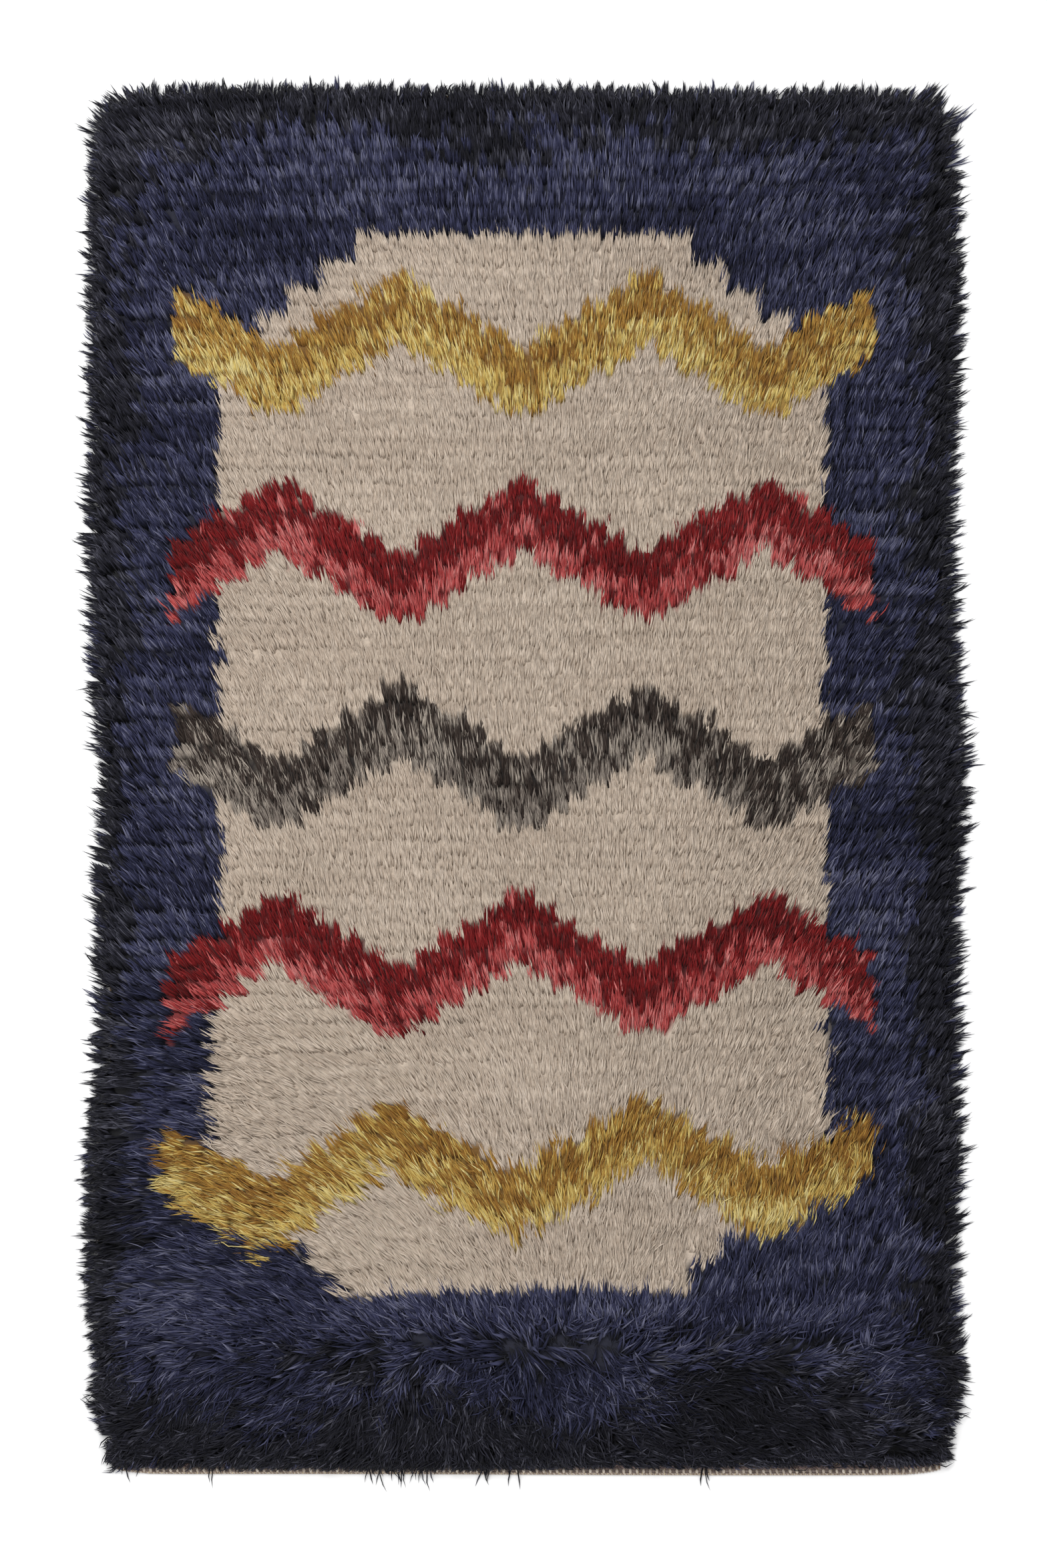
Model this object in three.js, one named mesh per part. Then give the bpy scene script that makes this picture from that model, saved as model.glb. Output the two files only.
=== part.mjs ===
// A hand-knotted long-pile wool rug, lying flat and face up.
// Millimetres, +Z up, +Y along the rug's length, so the pile leans towards +Y.
// Two pieces: the flat ground weave, and the long pile knotted into it, a lumpy
// slab of overlapping tuft rows with loose locks all round its rim.

import * as THREE from "three";

// Driving sizes of the rug
const PILE_LENGTH = 1932;        // along Y, without the loose locks
const PILE_WIDTH = 1198;         // along X, without the loose locks
const WEAVE_THICKNESS = 3;
const PIECE_GAP = 0.3;           // between the weave and the pile that stands on it
const PILE_TOP = 22;             // mean height of the tuft rows above the floor
const RIDGE_PITCH = 38.6;        // two rows of knots make one ridge that the eye sees
const RIDGE_RISE = 4.6;          // a crest above the mean, a furrow below it
const TUFT_RISE = 5;             // how much the height changes from tuft to tuft
const RIDGE_LEAN = 6;            // how far a crest hangs over the next furrow, about
const TUFT_SHIFT = 14;           // how much the tufts wander along their row
const RIM_HEIGHT = 14;           // pile height at the very edge
const RIM_STEP = 13;             // width of the shoulder between the rim and the pile
const RIM_ROUGHNESS = 3;         // how much the height changes along the rim
const SHOULDER_DROP = 3;         // how far the outermost tufts lie below the rest

// The flat-woven end that shows past the pile, and the overhang elsewhere
const WOVEN_END = 12;
const PILE_OVERHANG = 6;

// Loose locks along the rim
const LOCK_REACH = 27;
const LOCK_WIDTH = 11;
const LOCK_HEIGHT = 9;
const LOCK_BEND = 0.6;           // where along its length a lock bends down
const SHORT_REACH = 6;           // at the woven end, where the band stays in view
const LONG_REACH = 26;           // every few locks there hang over the band to the floor
const LONG_EVERY = 4;
const LOCK_CLEARANCE = 0.6;      // above the band
const LOCK_PILE_PULL = 0.75;     // how strongly the pile's own lean turns a lock
const LOCK_STRAY = 0.35;         // how much each lock strays from its neighbours
const WOVEN_END_ZONE = 42;       // locks rooted this near the end lie on the band

// Grid: each ridge is a crest line and a furrow line; the end rims are twice as fine
const COLUMNS = 24;
const ROWS = 2 * Math.floor((PILE_LENGTH - 2 * RIM_STEP) / RIDGE_PITCH);
const END_STEPS = 2 * COLUMNS;

// The parting across the rug near its woven end, where the pile falls both ways
const PARTING_Y = -797;
const PARTING_DEPTH = 5;
const PARTING_WIDTH = 22;

// The long edges wander: how far each stands out from a straight side
const EDGE_STATIONS = [
  { y: 935, left: -8, right: -8 },
  { y: 860, left: 3, right: 0 },
  { y: 697, left: 4, right: 4 },
  { y: 340, left: 3, right: -6 },
  { y: 162, left: -4, right: 0 },
  { y: -17, left: -16, right: 12 },
  { y: -195, left: -10, right: 0 },
  { y: -374, left: -12, right: 1 },
  { y: -553, left: 7, right: 3 },
  { y: -731, left: 5, right: 0 },
  { y: -820, left: 0, right: 11 },
  { y: -870, left: -2, right: 6 },
  { y: -935, left: -14, right: -4 },
];
const TOP_CORNER = 40;           // how far the short end falls back at its corners
const WOVEN_CORNER = 10;         // the woven end's corners are nearly square
const CORNER_TUCK = 0.3;         // how far the long edge draws in there, as a share of that
const CORNER_POWER = 28;         // high, so the rounding stays near the corner
const TOP_WAVE = 3;              // how far the far end bows in and out
const WOVEN_WAVE = -1;           // the woven end is straighter, and bows the other way

// Which way the pile lies, in degrees from +Y, positive to the right
const EDGE_LEAN = 42;            // at the long edges
const LEAN_POWER = 1.9;          // low in the middle, so that the fan opens late
const COMBED_LEAN = 55;          // what combing added at the left, in the lower part
const COMBED_FROM_Y = -180;
const COMBED_TO_Y = -480;
const FALLEN_LEFT = -112;        // past the parting the pile falls sideways
const FALLEN_RIGHT = 100;

const lerp = THREE.MathUtils.lerp;
const smoothstep = THREE.MathUtils.smoothstep;

// A fixed pseudo-random number from 0 to 1 for a pair of whole numbers
function scatter(a, b) {
  const s = Math.sin(a * 127.1 + b * 311.7) * 43758.5453;
  return s - Math.floor(s);
}

// How far the left or right edge stands out at a height y along the rug
function edgeOffset(y, side) {
  const stations = EDGE_STATIONS;
  if (y >= stations[0].y) return stations[0][side];
  for (let i = 1; i < stations.length; i += 1) {
    const upper = stations[i - 1];
    const lower = stations[i];
    if (y >= lower.y) {
      return lerp(lower[side], upper[side], smoothstep(y, lower.y, upper.y));
    }
  }
  return stations[stations.length - 1][side];
}

// The rug's plan: u runs from the left edge to the right, v from the woven end up
function plan(u, v) {
  const across = 2 * u - 1;
  const along = 2 * v - 1;
  const corner = lerp(WOVEN_CORNER, TOP_CORNER, v);
  const endDrop = corner * Math.abs(across) ** CORNER_POWER;
  const sideDrop = CORNER_TUCK * corner * Math.abs(along) ** (2 * CORNER_POWER);
  const bow = lerp(WOVEN_WAVE, TOP_WAVE, v) * Math.sin(5.2 * u + 0.6);
  const y = along * (PILE_LENGTH / 2 - endDrop + bow);
  const left = -PILE_WIDTH / 2 - edgeOffset(y, "left") + sideDrop;
  const right = PILE_WIDTH / 2 + edgeOffset(y, "right") - sideDrop;
  return new THREE.Vector2(lerp(left, right, u), y);
}

// Broad soft lumps of a hand-knotted pile, in millimetres above the mean
function lump(x, y) {
  return 1.5 * Math.sin(x / 61 + 1.4 * Math.sin(y / 97))
    + 1.3 * Math.sin(y / 83 - x / 140)
    + 0.9 * Math.sin((x + y) / 37);
}

// Height of the pile at a grid point: ridge, lump, tuft and parting together
function pileHeight(point, row, column) {
  const ridge = row % 2 === 0 ? -RIDGE_RISE : RIDGE_RISE;
  const tuft = TUFT_RISE * (scatter(row, column) - 0.5);
  const fromParting = (point.y - PARTING_Y) / PARTING_WIDTH;
  const parting = PARTING_DEPTH * Math.exp(-fromParting * fromParting);
  return PILE_TOP + ridge + tuft + lump(point.x, point.y) - parting;
}

// The pile's lean at a place: a fan, then what combing and the parting did to it
function leanAngle(x, y) {
  const side = x / (PILE_WIDTH / 2);
  const fan = EDGE_LEAN * Math.sign(side) * Math.abs(side) ** LEAN_POWER;
  const combed = 1 - smoothstep(y, COMBED_TO_Y, COMBED_FROM_Y);
  const angle = fan - COMBED_LEAN * combed * THREE.MathUtils.clamp(-side, 0, 1);
  const fallen = 1 - smoothstep(y, PARTING_Y - 2 * PARTING_WIDTH, PARTING_Y + PARTING_WIDTH);
  return lerp(angle, side < 0 ? FALLEN_LEFT : FALLEN_RIGHT, fallen);
}

// Collects points and triangles, and gives them back as one closed mesh
class Surface {
  constructor() {
    this.positions = [];
    this.triangles = [];
  }

  point(x, y, z) {
    this.positions.push(x, y, z);
    return this.positions.length / 3 - 1;
  }

  triangle(a, b, c) {
    this.triangles.push(a, b, c);
  }

  quad(a, b, c, d) {
    this.triangle(a, b, c);
    this.triangle(a, c, d);
  }

  geometry() {
    const geometry = new THREE.BufferGeometry();
    geometry.setAttribute("position", new THREE.Float32BufferAttribute(this.positions, 3));
    geometry.setIndex(this.triangles);
    geometry.computeVertexNormals();
    return geometry;
  }
}

// The rim as one closed loop, counter-clockwise from the lower left corner
function rimLoop() {
  const loop = [];
  for (let k = 0; k < END_STEPS; k += 1) loop.push(plan(k / END_STEPS, 0));
  for (let i = 0; i < ROWS; i += 1) loop.push(plan(1, i / ROWS));
  for (let k = END_STEPS; k > 0; k -= 1) loop.push(plan(k / END_STEPS, 1));
  for (let i = ROWS; i > 0; i -= 1) loop.push(plan(0, i / ROWS));
  return loop;
}

// Tuft rows of the pile, inside the rim
function addTuftRows(surface) {
  const grid = [];
  const insetU = RIM_STEP / PILE_WIDTH;
  const insetV = RIM_STEP / PILE_LENGTH;
  for (let row = 0; row <= ROWS; row += 1) {
    const line = [];
    for (let column = 0; column <= COLUMNS; column += 1) {
      const spot = plan(
        lerp(insetU, 1 - insetU, column / COLUMNS),
        lerp(insetV, 1 - insetV, row / ROWS),
      );
      const inside = column > 0 && column < COLUMNS && row > 0 && row < ROWS;
      if (inside) {
        const crest = row % 2 === 1;
        spot.x += TUFT_SHIFT * (scatter(column, row + 7) - 0.5);
        spot.y += crest ? RIDGE_LEAN * (0.5 + scatter(row, column + 3)) : 0;
      }
      const drop = inside ? 0 : SHOULDER_DROP;
      line.push(surface.point(spot.x, spot.y, pileHeight(spot, row, column) - drop));
    }
    grid.push(line);
  }
  for (let row = 0; row < ROWS; row += 1) {
    for (let column = 0; column < COLUMNS; column += 1) {
      surface.quad(
        grid[row][column], grid[row][column + 1],
        grid[row + 1][column + 1], grid[row + 1][column],
      );
    }
  }
  return grid;
}

// The shoulder between the tuft rows and the rim
function addShoulder(surface, grid, rimTop) {
  const rightStart = END_STEPS;
  const topStart = END_STEPS + ROWS;
  const leftStart = 2 * END_STEPS + ROWS;
  const rim = (index) => rimTop[index % rimTop.length];
  for (let column = 0; column < COLUMNS; column += 1) {
    const lowA = rim(2 * column);
    const lowB = rim(2 * column + 1);
    const lowC = rim(2 * column + 2);
    surface.triangle(lowA, lowB, grid[0][column]);
    surface.triangle(lowB, lowC, grid[0][column + 1]);
    surface.triangle(lowB, grid[0][column + 1], grid[0][column]);
    const fromRight = COLUMNS - column;
    const highA = rim(topStart + 2 * column);
    const highB = rim(topStart + 2 * column + 1);
    const highC = rim(topStart + 2 * column + 2);
    surface.triangle(highA, highB, grid[ROWS][fromRight]);
    surface.triangle(highB, highC, grid[ROWS][fromRight - 1]);
    surface.triangle(highB, grid[ROWS][fromRight - 1], grid[ROWS][fromRight]);
  }
  for (let row = 0; row < ROWS; row += 1) {
    surface.quad(
      rim(rightStart + row), rim(rightStart + row + 1),
      grid[row + 1][COLUMNS], grid[row][COLUMNS],
    );
    const down = ROWS - row;
    surface.quad(
      rim(leftStart + row), rim(leftStart + row + 1),
      grid[down - 1][0], grid[down][0],
    );
  }
}

// One loose lock grows out of each step of the rim, four-sided, ending in a point
function addLocks(surface, loop, rimTop, rimBottom) {
  const lowestEnd = Math.min(...loop.map((spot) => spot.y));
  for (let i = 0; i < loop.length; i += 1) {
    const next = (i + 1) % loop.length;
    const root = loop[i].clone().add(loop[next]).multiplyScalar(0.5);
    const along = loop[next].clone().sub(loop[i]).normalize();
    const outward = new THREE.Vector2(along.y, -along.x);
    const lean = THREE.MathUtils.degToRad(leanAngle(root.x, root.y));
    const pileWay = new THREE.Vector2(Math.sin(lean), Math.cos(lean));
    const stray = LOCK_STRAY * (scatter(i, 1) - 0.5);
    const away = outward.clone()
      .addScaledVector(pileWay, LOCK_PILE_PULL)
      .addScaledVector(along, stray)
      .normalize();

    const atWovenEnd = root.y < lowestEnd + WOVEN_END_ZONE;
    const overBand = atWovenEnd && i % LONG_EVERY === 0;
    const wovenReach = overBand ? LONG_REACH : SHORT_REACH;
    const fullReach = atWovenEnd ? wovenReach : LOCK_REACH;
    const reach = fullReach * (0.88 + 0.24 * scatter(i, 2));
    const middle = root.clone().addScaledVector(away, LOCK_BEND * reach);
    const tip = root.clone().addScaledVector(away, reach);
    const half = 0.5 * LOCK_WIDTH;
    const onBand = WEAVE_THICKNESS + LOCK_CLEARANCE;
    const under = atWovenEnd ? onBand : 0;
    const over = under + LOCK_HEIGHT * (0.8 + 0.4 * scatter(i, 3));
    const tipHeight = atWovenEnd && !overBand ? onBand : 0;

    const a = surface.point(middle.x - half * along.x, middle.y - half * along.y, under);
    const b = surface.point(middle.x + half * along.x, middle.y + half * along.y, under);
    const c = surface.point(middle.x + half * along.x, middle.y + half * along.y, over);
    const d = surface.point(middle.x - half * along.x, middle.y - half * along.y, over);
    const end = surface.point(tip.x, tip.y, tipHeight);
    const rootRing = [rimBottom[i], rimBottom[next], rimTop[next], rimTop[i]];
    const middleRing = [a, b, c, d];
    for (let side = 0; side < 4; side += 1) {
      const other = (side + 1) % 4;
      surface.quad(rootRing[side], rootRing[other], middleRing[other], middleRing[side]);
      surface.triangle(middleRing[side], middleRing[other], end);
    }
  }
}

// The pile's flat underside, facing down
function addUnderside(surface, loop, rimBottom) {
  const faces = THREE.ShapeUtils.triangulateShape(loop, []);
  for (const [a, b, c] of faces) surface.triangle(rimBottom[c], rimBottom[b], rimBottom[a]);
}

function pileGeometry() {
  const surface = new Surface();
  const loop = rimLoop();
  const foot = WEAVE_THICKNESS + PIECE_GAP;
  const rimTop = loop.map((spot, i) => (
    surface.point(spot.x, spot.y, RIM_HEIGHT + RIM_ROUGHNESS * (scatter(i, 5) - 0.5))
  ));
  const rimBottom = loop.map((spot) => surface.point(spot.x, spot.y, foot));
  const grid = addTuftRows(surface);
  addShoulder(surface, grid, rimTop);
  addLocks(surface, loop, rimTop, rimBottom);
  addUnderside(surface, loop, rimBottom);
  return surface.geometry();
}

// The ground weave follows the pile's plan, inside it on three sides
function weaveOutline() {
  const insetU = PILE_OVERHANG / PILE_WIDTH;
  const topV = 1 - PILE_OVERHANG / PILE_LENGTH;
  const across = COLUMNS;
  const along = 2 * COLUMNS;
  const points = [];
  for (let k = 0; k < across; k += 1) {
    points.push(plan(lerp(insetU, 1 - insetU, k / across), 0));
  }
  for (let k = 0; k < along; k += 1) {
    points.push(plan(1 - insetU, lerp(0, topV, k / along)));
  }
  for (let k = across; k > 0; k -= 1) {
    points.push(plan(lerp(insetU, 1 - insetU, k / across), topV));
  }
  for (let k = along; k > 0; k -= 1) {
    points.push(plan(insetU, lerp(0, topV, k / along)));
  }
  for (let k = 0; k <= across; k += 1) points[k].y -= WOVEN_END;
  return points;
}

function weaveGeometry() {
  const outline = new THREE.Shape(weaveOutline());
  return new THREE.ExtrudeGeometry(outline, { depth: WEAVE_THICKNESS, bevelEnabled: false });
}

const weaveWool = new THREE.MeshStandardMaterial({
  color: "#8a745a", roughness: 0.95, metalness: 0,
});
const pileWool = new THREE.MeshStandardMaterial({
  color: "#34364a", roughness: 0.92, metalness: 0,
});

const groundWeave = new THREE.Mesh(weaveGeometry(), weaveWool);
groundWeave.name = "ground_weave";
const pile = new THREE.Mesh(pileGeometry(), pileWool);
pile.name = "pile";

const rug = new THREE.Group();
rug.add(groundWeave, pile);

// The origin is the middle of the rug's footprint, on the floor
const box = new THREE.Box3().setFromObject(rug);
const middle = box.getCenter(new THREE.Vector3());
rug.position.set(-middle.x, -middle.y, -box.min.z);

export default rug;
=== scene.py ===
# %% [markdown]
# # A hand-knotted long-pile rug
#
# This rug is a flat woven sheet with rows of wool yarn ends knotted into it. They are
# long, lie over like roof tiles and hide the sheet, which shows only as a narrow band at
# one end. The lesson grows more than a hundred thousand yarn ends, dyed by a chart, and
# then models what is under them: a layer of roots, the ground weave and its woven end.

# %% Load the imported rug
import math

import bpy
import numpy as np
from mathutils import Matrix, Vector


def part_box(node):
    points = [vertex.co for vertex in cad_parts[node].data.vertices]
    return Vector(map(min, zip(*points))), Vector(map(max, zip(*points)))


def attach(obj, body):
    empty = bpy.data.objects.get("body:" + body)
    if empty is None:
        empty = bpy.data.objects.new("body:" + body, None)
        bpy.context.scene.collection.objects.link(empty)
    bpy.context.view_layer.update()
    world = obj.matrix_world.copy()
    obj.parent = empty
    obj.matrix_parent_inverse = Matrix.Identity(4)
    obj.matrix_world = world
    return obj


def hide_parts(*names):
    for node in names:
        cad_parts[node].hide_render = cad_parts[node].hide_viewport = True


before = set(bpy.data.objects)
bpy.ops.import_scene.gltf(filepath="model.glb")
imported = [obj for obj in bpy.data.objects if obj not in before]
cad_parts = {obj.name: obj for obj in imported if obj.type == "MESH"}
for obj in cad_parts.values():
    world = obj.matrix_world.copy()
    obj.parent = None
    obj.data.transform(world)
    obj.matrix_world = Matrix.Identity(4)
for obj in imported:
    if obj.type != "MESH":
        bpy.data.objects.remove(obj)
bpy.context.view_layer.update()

# %% [markdown]
# ## Camera
#
# The photograph looks straight down on the rug, so the camera hangs above it with its top
# edge towards +Y. A long lens far away keeps the edges from spreading. Two offsets say
# where the picture's middle falls, in millimetres from the frame's.

# %% Hang the camera over the rug
PHOTO_HEIGHT_PX = 2348
PHOTO_PX_PER_MM = 1.064
VIEW_OFFSET_X = -1.8
VIEW_OFFSET_Y = -10.8
LENS_MM = 100
SENSOR_MM = 36

view_height = PHOTO_HEIGHT_PX / PHOTO_PX_PER_MM / 1000
camera_height = view_height * LENS_MM / SENSOR_MM

camera_data = bpy.data.cameras.new("overhead_camera")
camera_data.lens = LENS_MM
camera_data.sensor_width = SENSOR_MM
camera_data.clip_end = 50
camera = bpy.data.objects.new("overhead_camera", camera_data)
camera.location = (VIEW_OFFSET_X / 1000, VIEW_OFFSET_Y / 1000, camera_height)
scene = bpy.context.scene
scene.collection.objects.link(camera)
scene.camera = camera
scene.view_settings.view_transform = "Standard"
print(f"camera {camera_height:.2f} m up, frame {view_height:.3f} m high")

# %% [markdown]
# ## The plan of the rug
#
# Hand-made edges wander. The plan is a rectangle with rounded corners whose long edges
# follow a short table of stations. Two numbers, u across and v along, name any place on
# it, so rows of knots follow the edges by themselves. Lengths are in millimetres.

# %% The plan: u from the left edge, v from the woven end
PILE_LENGTH = 1932
PILE_WIDTH = 1198
TOP_CORNER = 40
WOVEN_CORNER = 10
CORNER_TUCK = 0.3
CORNER_POWER = 28
TOP_WAVE = 3
WOVEN_WAVE = -1
WOVEN_END = 12
PILE_OVERHANG = 6
WEAVE_THICKNESS = 3
EDGE_STATIONS = {
    "y": [-935, -870, -820, -731, -553, -374, -195, -17, 162, 340, 697, 860, 935],
    "left": [-14, -2, 0, 5, 7, -12, -10, -16, -4, 3, 4, 3, -8],
    "right": [-4, 6, 11, 0, 3, 1, 0, 12, 0, -6, 4, 0, -8],
}


def smoothstep(value, low, high):
    t = np.clip((value - low) / (high - low), 0, 1)
    return t * t * (3 - 2 * t)


def edge_offset(y, side):
    stations = EDGE_STATIONS["y"]
    offset = np.full_like(y, EDGE_STATIONS[side][0])
    for low, high, a, b in zip(stations, stations[1:], EDGE_STATIONS[side], EDGE_STATIONS[side][1:]):
        offset = np.where(y > low, a + (b - a) * smoothstep(y, low, high), offset)
    return offset


def plan(u, v):
    u, v = np.broadcast_arrays(np.asarray(u, float), np.asarray(v, float))
    across = 2 * u - 1
    along = 2 * v - 1
    corner = WOVEN_CORNER + (TOP_CORNER - WOVEN_CORNER) * v
    end_drop = corner * np.abs(across) ** CORNER_POWER
    side_drop = CORNER_TUCK * corner * np.abs(along) ** (2 * CORNER_POWER)
    bow = (WOVEN_WAVE + (TOP_WAVE - WOVEN_WAVE) * v) * np.sin(5.2 * u + 0.6)
    y = along * (PILE_LENGTH / 2 - end_drop + bow)
    left = -PILE_WIDTH / 2 - edge_offset(y, "left") + side_drop
    right = PILE_WIDTH / 2 + edge_offset(y, "right") - side_drop
    return left + u * (right - left), y


# %% Find where the frame puts that plan
weave_low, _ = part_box("ground_weave")
inset_u = PILE_OVERHANG / PILE_WIDTH
side_x, _ = plan(inset_u, np.linspace(0, 1, 400))
_, end_y = plan(np.linspace(0, 1, 400), 0)
SHIFT_X = weave_low[0] * 1000 - side_x.min()
SHIFT_Y = weave_low[1] * 1000 - (end_y.min() - WOVEN_END)
print(f"the plan's middle lies at {SHIFT_X:.1f}, {SHIFT_Y:.1f} mm in the frame")

# %% [markdown]
# ## The knot chart
#
# Each knot is one colour, so a pattern is made of little steps, about 9 mm wide and 19 mm
# high. The ground is blue with a ragged navy-black edge. The field is oatmeal wool with
# stepped corners, crossed by zigzag bands in two tones. All of it is worked out from a few
# sizes, knot by knot, with a little chance where yarns mix.

# %% Rows and columns of knots
ROW_PITCH = 19.3
KNOT_PITCH = 9.3
SIDE_MARGIN = 14
TOP_MARGIN = 24
END_MARGIN = 16
ROWS = 1 + round((PILE_LENGTH - TOP_MARGIN - END_MARGIN) / ROW_PITCH)
COLUMNS = 1 + round((PILE_WIDTH - 2 * SIDE_MARGIN) / KNOT_PITCH)
chance = np.random.default_rng(1957)

row_index, column_index = np.meshgrid(np.arange(ROWS), np.arange(COLUMNS), indexing="ij")
wander_x = chance.uniform(-3.6, 3.6, row_index.shape)
wander_y = chance.uniform(-1.4, 1.4, row_index.shape)
knot_u = (SIDE_MARGIN + column_index * KNOT_PITCH + wander_x) / PILE_WIDTH
knot_v = (END_MARGIN + row_index * ROW_PITCH + wander_y) / PILE_LENGTH
knot_x, knot_y = plan(knot_u, knot_v)
knot_x = knot_x.ravel()
knot_y = knot_y.ravel()
knot_row = row_index.ravel()
knots = ROWS * COLUMNS
print(f"{ROWS} rows of {COLUMNS} knots make {knots} knots")

# %% Soft patches, as uneven dyeing and combing leave them
WAVES = 7


def patches(x, y, size_x, size_y, seed):
    """Smooth noise from -1 to 1 with patches of about that size in millimetres."""
    local = np.random.default_rng(seed)
    total = np.zeros_like(x)
    for _ in range(WAVES):
        angle = local.uniform(0, 2 * math.pi)
        stretch = local.uniform(0.6, 1.5)
        phase = local.uniform(0, 2 * math.pi)
        wave_x = math.cos(angle) * stretch * math.pi / size_x
        wave_y = math.sin(angle) * stretch * math.pi / size_y
        total += np.sin(x * wave_x + y * wave_y + phase)
    return np.clip(total / 3.2, -1, 1)


# %% The chart itself
YARNS = ["navy", "blue", "oatmeal", "ochre", "yellow", "red", "pink", "brown", "grey"]
NAVY, BLUE, OATMEAL, OCHRE, YELLOW, RED, PINK, BROWN, GREY = range(len(YARNS))
PARTNER = np.array([NAVY, BLUE, OATMEAL, YELLOW, OCHRE, PINK, RED, GREY, BROWN])
KNOT_MIX = np.array([0, 0, 0, 0.12, 0.12, 0.03, 0.12, 0.16, 0.18])
FIELD_HALF_WIDTH = 414
FIELD_HALF_LENGTH = 752
CORNER_STEP_X = 5 * KNOT_PITCH
CORNER_STEP_Y = 2 * ROW_PITCH
CORNER_STEPS = 4
BAND_SPACING = 290
BAND_WAVE = 36 * KNOT_PITCH
BAND_SWING = 52
BAND_DARK = 58
BAND_LIGHT = 44
BAND_HALF_WIDTH = FIELD_HALF_WIDTH + 7 * KNOT_PITCH
BAND_COLOURS = [(OCHRE, YELLOW), (RED, PINK), (BROWN, GREY), (RED, PINK), (OCHRE, YELLOW)]
EDGE_SIDE = 65
EDGE_TOP = 94
EDGE_BOTTOM = 112
EDGE_RAGGED = 26
EDGE_FUZZ = 13
CHART_SEED = 3


def zigzag(x, wave):
    """A triangle wave from -1 to 1 with its peak at x = 0."""
    return 1 - 4 * np.abs((x / wave + 0.5) % 1 - 0.5)


def chart(x, y):
    """The yarn of each knot at x, y in the plan's millimetres."""
    local = np.random.default_rng(CHART_SEED)
    column_x = np.round(x / KNOT_PITCH) * KNOT_PITCH
    row_y = np.round(y / ROW_PITCH) * ROW_PITCH
    yarn = np.full(x.shape, BLUE)

    from_side = (FIELD_HALF_WIDTH - np.abs(column_x)) / CORNER_STEP_X
    from_end = (FIELD_HALF_LENGTH - np.abs(row_y)) / CORNER_STEP_Y
    inside = (from_side > 0) & (from_end > 0)
    inside &= np.floor(from_side) + np.floor(from_end) >= CORNER_STEPS
    yarn[inside] = OATMEAL

    middle = (len(BAND_COLOURS) - 1) / 2
    for k, (dark, light) in enumerate(BAND_COLOURS):
        swing = BAND_SWING * zigzag(column_x, BAND_WAVE) * (1 if k % 2 else -1)
        height = row_y - (k - middle) * BAND_SPACING - swing
        reach = np.abs(column_x) < BAND_HALF_WIDTH
        yarn[reach & (height > 0) & (height < BAND_DARK)] = dark
        yarn[reach & (height <= 0) & (height > -BAND_LIGHT)] = light

    swapped = local.random(x.shape) < KNOT_MIX[yarn]
    yarn = np.where(swapped, PARTNER[yarn], yarn)

    ragged = EDGE_RAGGED * patches(x, y, 150, 110, 11) + local.normal(0, EDGE_FUZZ, x.shape)
    near_side = PILE_WIDTH / 2 - np.abs(x) < EDGE_SIDE + ragged
    near_top = PILE_LENGTH / 2 - y < EDGE_TOP + 1.3 * ragged
    near_bottom = PILE_LENGTH / 2 + y < EDGE_BOTTOM + 1.6 * ragged
    yarn[near_side | near_top | near_bottom] = NAVY
    return yarn


knot_yarn = chart(knot_x, knot_y)
print({name: int((knot_yarn == i).sum()) for i, name in enumerate(YARNS)})

# %% [markdown]
# ## Which way the pile lies
#
# Walking, brushing and rolling comb a long pile. Here it leans up the rug in the middle
# and fans outwards to both sides. The lower left is combed nearly flat to the left, and
# below a parting near the woven end the tufts fall sideways and down, in some disorder.

# %% The lean, in degrees from +Y, positive to the right
EDGE_LEAN = 42
LEAN_POWER_LEFT = 1.2
LEAN_POWER_RIGHT = 2.0
COMBED_LEAN = 58
COMBED_POWER = 0.75
DRIFT_LEAN = 8
CURL_LEAN = 9
PARTING_Y = -797
FALLEN_SIDE = [-1, -0.6, -0.25, 0.05, 0.3, 1]
FALLEN_LEAN = [236, 244, 200, 160, 106, 94]
FALLEN_DRIFT = 22
FALLEN_CURL = 24


def lean(x, y, parting_y=PARTING_Y):
    side = x / (PILE_WIDTH / 2)
    power = np.where(side < 0, LEAN_POWER_LEFT, LEAN_POWER_RIGHT)
    fan = EDGE_LEAN * np.sign(side) * np.abs(side) ** power
    combed = smoothstep(-y, 180, 480)
    angle = fan - COMBED_LEAN * combed * np.clip(0.12 - side, 0, 1) ** COMBED_POWER
    curls = patches(x, y, 48, 34, 24)
    angle = angle + DRIFT_LEAN * patches(x, y, 260, 180, 21)
    angle = angle + CURL_LEAN * smoothstep(-y, 250, 650) * curls
    angle = np.radians(angle)
    fallen = smoothstep(parting_y - y, -14, 26)
    fallen_angle = np.interp(side, FALLEN_SIDE, FALLEN_LEAN)
    fallen_angle = fallen_angle + FALLEN_DRIFT * patches(x, y, 140, 90, 23)
    fallen_angle = np.radians(fallen_angle + FALLEN_CURL * curls)
    lean_x = np.sin(angle) * (1 - fallen) + np.sin(fallen_angle) * fallen
    lean_y = np.cos(angle) * (1 - fallen) + np.cos(fallen_angle) * fallen
    return np.degrees(np.arctan2(lean_x, lean_y))


def disorder(x, y):
    """How far tufts stray from the lean, in degrees."""
    middle = 1 - smoothstep(np.abs(x), 120, 420)
    below = smoothstep(-y, -PARTING_Y - 60, -PARTING_Y + 30)
    at_top = smoothstep(y, 880, 950)
    at_side = smoothstep(np.abs(x), 150, 500)
    lower = smoothstep(-y, 250, 650)
    return 2.6 + 3 * at_side + 4.5 * lower + 12 * below * (0.5 + 0.8 * middle) + 8 * at_top


print("lean from left to right:", lean(np.linspace(-560, 560, 5), np.zeros(5)).round())

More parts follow.
